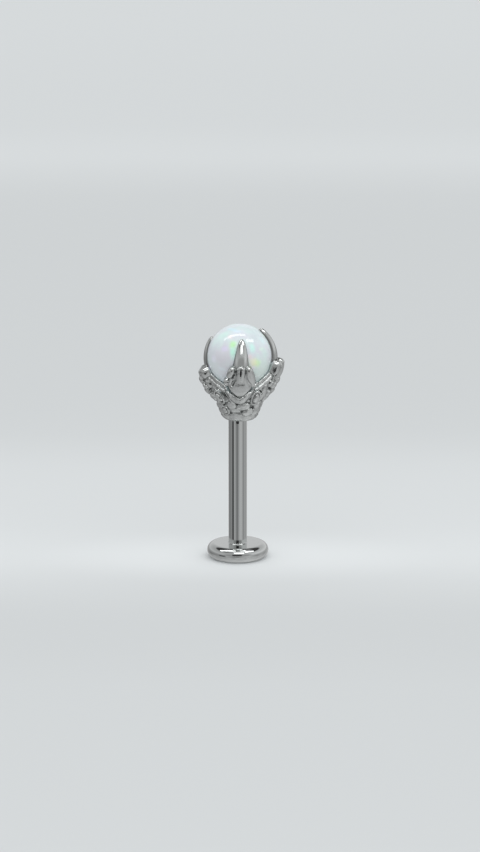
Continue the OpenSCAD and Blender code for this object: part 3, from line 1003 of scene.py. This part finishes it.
# The floor's tone changes a little with the distance from the viewer, as it does under a studio's large lamps: a ramp
# over sqrt(y - near), because the far floor is foreshortened, times the pool of light round the stud
def floorMaterial():
    material, tree, shader = newMaterial("pale_floor")
    where = addNode(tree, "TexCoord")
    split = addNode(tree, "SeparateXYZ")
    tree.links.new(where.outputs["Object"], split.inputs["Vector"])
    near = floorLook["bands"][0][0]
    far = math.sqrt(floorLook["bands"][-1][0] - near)
    place = addNode(tree, "Math", operation="SUBTRACT")
    tree.links.new(split.outputs["Y"], place.inputs[0])
    place.inputs[1].default_value = near * metre
    scaled = addNode(tree, "Math", operation="MAXIMUM")
    tree.links.new(place.outputs[0], scaled.inputs[0])
    scaled.inputs[1].default_value = 0.0
    root = addNode(tree, "Math", operation="SQRT")
    tree.links.new(scaled.outputs[0], root.inputs[0])
    ramp = addNode(tree, "ValToRGB")
    ramp.color_ramp.interpolation = "B_SPLINE"
    stops = ramp.color_ramp.elements
    for _ in floorLook["bands"][2:]:
        stops.new(0.5)
    for stop, (y, factor) in zip(stops, floorLook["bands"]):
        stop.position = math.sqrt(y - near) / far
        stop.color = (factor, factor, factor, 1)
    tree.links.new(remap(tree, root.outputs[0], 0.0, 1.0, 0.0, far * math.sqrt(metre)), ramp.inputs["Fac"])
    reachX, reachY, more = floorLook["pool"]
    squash = addNode(tree, "Mapping")
    squash.inputs["Scale"].default_value = (1 / (reachX * metre), 1 / (reachY * metre), 0)
    tree.links.new(where.outputs["Object"], squash.inputs["Vector"])
    away = addNode(tree, "VectorMath", operation="LENGTH")
    tree.links.new(squash.outputs["Vector"], away.inputs[0])
    pool = addNode(tree, "MapRange", interpolation_type="SMOOTHSTEP")
    start, end = floorLook["poolEdge"]
    for name, value in [("From Min", start), ("From Max", end), ("To Min", 1.0 + more), ("To Max", 1.0)]:
        pool.inputs[name].default_value = value
    tree.links.new(away.outputs["Value"], pool.inputs["Value"])
    out = addNode(tree, "VectorMath", operation="LENGTH")
    tree.links.new(where.outputs["Object"], out.inputs[0])
    start, end, farTone = floorLook["far"]
    beyond = remap(tree, out.outputs["Value"], 0.0, 1.0, start * metre, end * metre)
    base = mixed(tree, beyond, ramp.outputs["Color"], (farTone, farTone, farTone, 1))
    tone = addNode(tree, "Math", operation="MULTIPLY")
    tree.links.new(base, tone.inputs[0])
    tree.links.new(pool.outputs["Result"], tone.inputs[1])
    colour = addNode(tree, "VectorMath", operation="SCALE")
    colour.inputs[0].default_value = floorLook["colour"]
    tree.links.new(tone.outputs[0], colour.inputs["Scale"])
    tree.links.new(colour.outputs[0], shader.inputs["Base Color"])
    shader.inputs["Roughness"].default_value = 0.9
    shader.inputs["Specular IOR Level"].default_value = 0.0
    return material


corner = floorLook["half"]
floorPoints = np.array([(-1, -1, 0), (1, -1, 0), (1, 1, 0), (-1, 1, 0)]) * corner + [0, 0, floorLook["z"]]
floor = makeObject("floor", floorPoints, [[0, 1, 2, 3]], smooth=False)
floor.data.materials.append(floorMaterial())
floor.visible_glossy = False
print("floor laid")

# A dark card in front, as the viewer's hands and lens are: only the metal's and the ball's reflections show it
card = {
    "y": -32.0,
    "left": -11.5,
    "right": 8.6,
    "low": 2.4,
    "high": 14.0,
    "tone": (0.035, 0.035, 0.035, 1),
}


def addCard(size):
    left, right, low, high = (size[side] for side in ("left", "right", "low", "high"))
    corners = [(x, size["y"], z) for x, z in ((left, low), (right, low), (right, high), (left, high))]
    made = makeObject("viewer_card", corners, [[3, 2, 1, 0]], smooth=False)
    material, tree, shader = newMaterial("black_card")
    shader.inputs["Base Color"].default_value = size["tone"]
    shader.inputs["Roughness"].default_value = 1.0
    shader.inputs["Specular IOR Level"].default_value = 0.0
    made.data.materials.append(material)
    made.visible_camera = False
    made.visible_diffuse = False
    made.visible_shadow = False
    made.visible_transmission = False


addCard(card)

# Lights: lamps that only the metal and the ball reflect (those with a turn lie flat under the ceiling), and a wide sun
# that lights the floor evenly
lights = [
    {"name": "over", "place": (-520, 60, 1500), "size": (1850, 260), "turn": 0, "power": 7.0},
    {"name": "right", "place": (974, -340, 1500), "size": (860, 380), "turn": 31, "power": 5.0},
    {"name": "front", "place": (66, -626, 777), "size": (560, 390), "power": 1.1},
]
sun = {"place": (250, -350, 1500), "angle": 90.0, "power": 1.05}


# A lamp in its place, level and turned, or aimed at the stud
def aimed(data, look):
    lamp = bpy.data.objects.new(data.name, data)
    lamp.location = [metre * v for v in look["place"]]
    if "turn" in look:
        lamp.rotation_euler = (0, 0, math.radians(look["turn"]))
    else:
        lamp.rotation_euler = Vector([-v for v in look["place"]]).to_track_quat("-Z", "Y").to_euler()
    lamp.visible_camera = False
    scene.collection.objects.link(lamp)
    return lamp


def addLight(look):
    data = bpy.data.lights.new(look["name"], "AREA")
    data.shape = "RECTANGLE"
    data.size, data.size_y = (metre * s for s in look["size"])
    data.energy = look["power"]
    aimed(data, look).visible_diffuse = False


def addSun(look):
    data = bpy.data.lights.new("sun", "SUN")
    data.angle = math.radians(look["angle"])
    data.energy = look["power"]
    aimed(data, look).visible_glossy = False


for look in lights:
    addLight(look)
addSun(sun)

# The room round the stud as the metal sees it
room = {
    "strength": 1.0,
    # near the horizon, by azimuth: 0 and 1 lie behind the stud, 0.5 at the camera and 0.25 at the left
    "around": [
        (0.000, 0.64), (0.160, 0.29), (0.225, 0.37), (0.285, 0.42), (0.304, 0.11), (0.356, 0.11), (0.380, 0.62),
        (0.430, 0.45), (0.465, 0.27), (0.505, 0.26), (0.535, 0.46), (0.570, 0.56), (0.630, 0.58), (0.680, 0.39),
        (0.720, 0.30), (0.766, 0.45), (0.823, 0.38), (0.906, 0.51), (1.000, 0.64),
    ],
    # by height, from straight down to straight up: tone, and how much it covers the strips
    "upward": [
        (0.0, 0.66, 1.0), (0.05, 0.64, 1.0), (0.16, 0.56, 1.0), (0.30, 0.48, 1.0), (0.35, 0.5, 0.0), (0.425, 0.5, 0.0),
        (0.475, 0.44, 1.0), (0.53, 0.50, 1.0), (0.60, 0.76, 1.0), (0.75, 0.60, 1.0), (1.0, 0.48, 1.0),
    ],
    "patchy": (3.0, 0.15),  # low down: how small its patches are, and how much they differ
    "patchyLow": (-0.5, -0.3),  # the heights between which they fade out
    "lean": 0.15,  # how much brighter the right side is than the middle, and the left side darker
    "onMatt": 0.77,  # what lights the floor and the ball from all round
    "seen": (0.670, 0.700, 0.714, 1),  # what the camera sees beyond the floor
    # dark ovals, the same on the left and on the right: azimuth from the camera, height, half width, half height, tone
    "dark": [(3.14, 0.77, 2.4, 0.12, 0.06), (0.0, 0.22, 0.9, 0.26, 0.40)],
    "darkEdge": (0.8, 1.2),  # where an oval fades, in its half sizes
}


# The world's tone by direction: upright strips round the horizon, covered by a ramp over the height, brighter to the
# right, with dark ovals over it; what the matt floor gets from it and what the camera sees are even
def addWorld():
    world = bpy.data.worlds.new("room")
    world.use_nodes = True
    scene.world = world
    tree = world.node_tree
    tree.nodes.clear()
    where = addNode(tree, "TexCoord")
    split = addNode(tree, "SeparateXYZ")
    tree.links.new(where.outputs["Generated"], split.inputs["Vector"])
    turn = addNode(tree, "Math", operation="ARCTAN2")
    tree.links.new(split.outputs["X"], turn.inputs[0])
    flip = addNode(tree, "Math", operation="MULTIPLY")
    flip.inputs[1].default_value = -1.0
    tree.links.new(split.outputs["Y"], flip.inputs[0])
    tree.links.new(flip.outputs[0], turn.inputs[1])
    share = remap(tree, turn.outputs[0], 0.0, 1.0, -math.pi, math.pi)
    around = addNode(tree, "ValToRGB")
    stops = around.color_ramp.elements
    for place, value in room["around"][1:-1]:
        stops.new(place)
    for stop, (place, value) in zip(stops, room["around"]):
        stop.position = place
        stop.color = (value, value, value * 1.01, 1)
    tree.links.new(share, around.inputs["Fac"])
    upward = addNode(tree, "ValToRGB")
    stops = upward.color_ramp.elements
    for place, value, cover in room["upward"][1:-1]:
        stops.new(place)
    for stop, (place, value, cover) in zip(stops, room["upward"]):
        stop.position = place
        stop.color = (value, value, value * 1.01, cover)
    tree.links.new(remap(tree, split.outputs["Z"], 0.0, 1.0, -1.0, 1.0), upward.inputs["Fac"])
    uneven = addNode(tree, "TexNoise", Scale=room["patchy"][0], Detail=2.0)
    tree.links.new(where.outputs["Generated"], uneven.inputs["Vector"])
    patches = addNode(tree, "VectorMath", operation="SCALE")
    tree.links.new(upward.outputs["Color"], patches.inputs[0])
    more = room["patchy"][1]
    tree.links.new(remap(tree, uneven.outputs["Fac"], 1.0 - more, 1.0 + more, 0.35, 0.65), patches.inputs["Scale"])
    low = remap(tree, split.outputs["Z"], 1.0, 0.0, *room["patchyLow"])
    even = mixed(tree, low, upward.outputs["Color"], patches.outputs[0])
    walls = mixed(tree, upward.outputs["Alpha"], around.outputs["Color"], even)
    oval = addNode(tree, "CombineXYZ")
    offFront = addNode(tree, "Math", operation="ABSOLUTE")
    tree.links.new(turn.outputs[0], offFront.inputs[0])
    tree.links.new(offFront.outputs[0], oval.inputs["X"])
    tree.links.new(split.outputs["Z"], oval.inputs["Y"])
    lean = remap(tree, split.outputs["X"], 1.0 - room["lean"], 1.0 + room["lean"], -1.0, 1.0)
    leaning = addNode(tree, "VectorMath", operation="SCALE")
    tree.links.new(walls, leaning.inputs[0])
    tree.links.new(lean, leaning.inputs["Scale"])
    seen = leaning.outputs[0]
    for azimuth, height, wide, tall, tone in room["dark"]:
        squash = addNode(tree, "Mapping")
        squash.inputs["Location"].default_value = (-azimuth / wide, -height / tall, 0)
        squash.inputs["Scale"].default_value = (1 / wide, 1 / tall, 0)
        tree.links.new(oval.outputs[0], squash.inputs["Vector"])
        away = addNode(tree, "VectorMath", operation="LENGTH")
        tree.links.new(squash.outputs["Vector"], away.inputs[0])
        inside = remap(tree, away.outputs["Value"], 1.0, 0.0, *room["darkEdge"])
        seen = mixed(tree, inside, seen, (tone, tone, tone, 1))
    rays = addNode(tree, "LightPath")
    seen = mixed(tree, rays.outputs["Is Diffuse Ray"], seen, (room["onMatt"],) * 3 + (1,))
    seen = mixed(tree, rays.outputs["Is Camera Ray"], seen, room["seen"])
    shade = addNode(tree, "Background", Strength=room["strength"])
    tree.links.new(seen, shade.inputs["Color"])
    out = tree.nodes.new("ShaderNodeOutputWorld")
    tree.links.new(shade.outputs["Background"], out.inputs["Surface"])


addWorld()
print("lit")

for piece, slot, node in [
    (postPiece, "polished_steel", "labret_post"),
    (palmPiece, "cast_steel", "claw_setting"),
    (fingerPiece, "cast_steel", "claw_setting"),
    (nailPiece, "cast_steel", "claw_setting"),
    (ballPiece, "opal", "opal_ball"),
]:
    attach(piece, "root")
    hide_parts(node)
print("pieces ride on the stud")
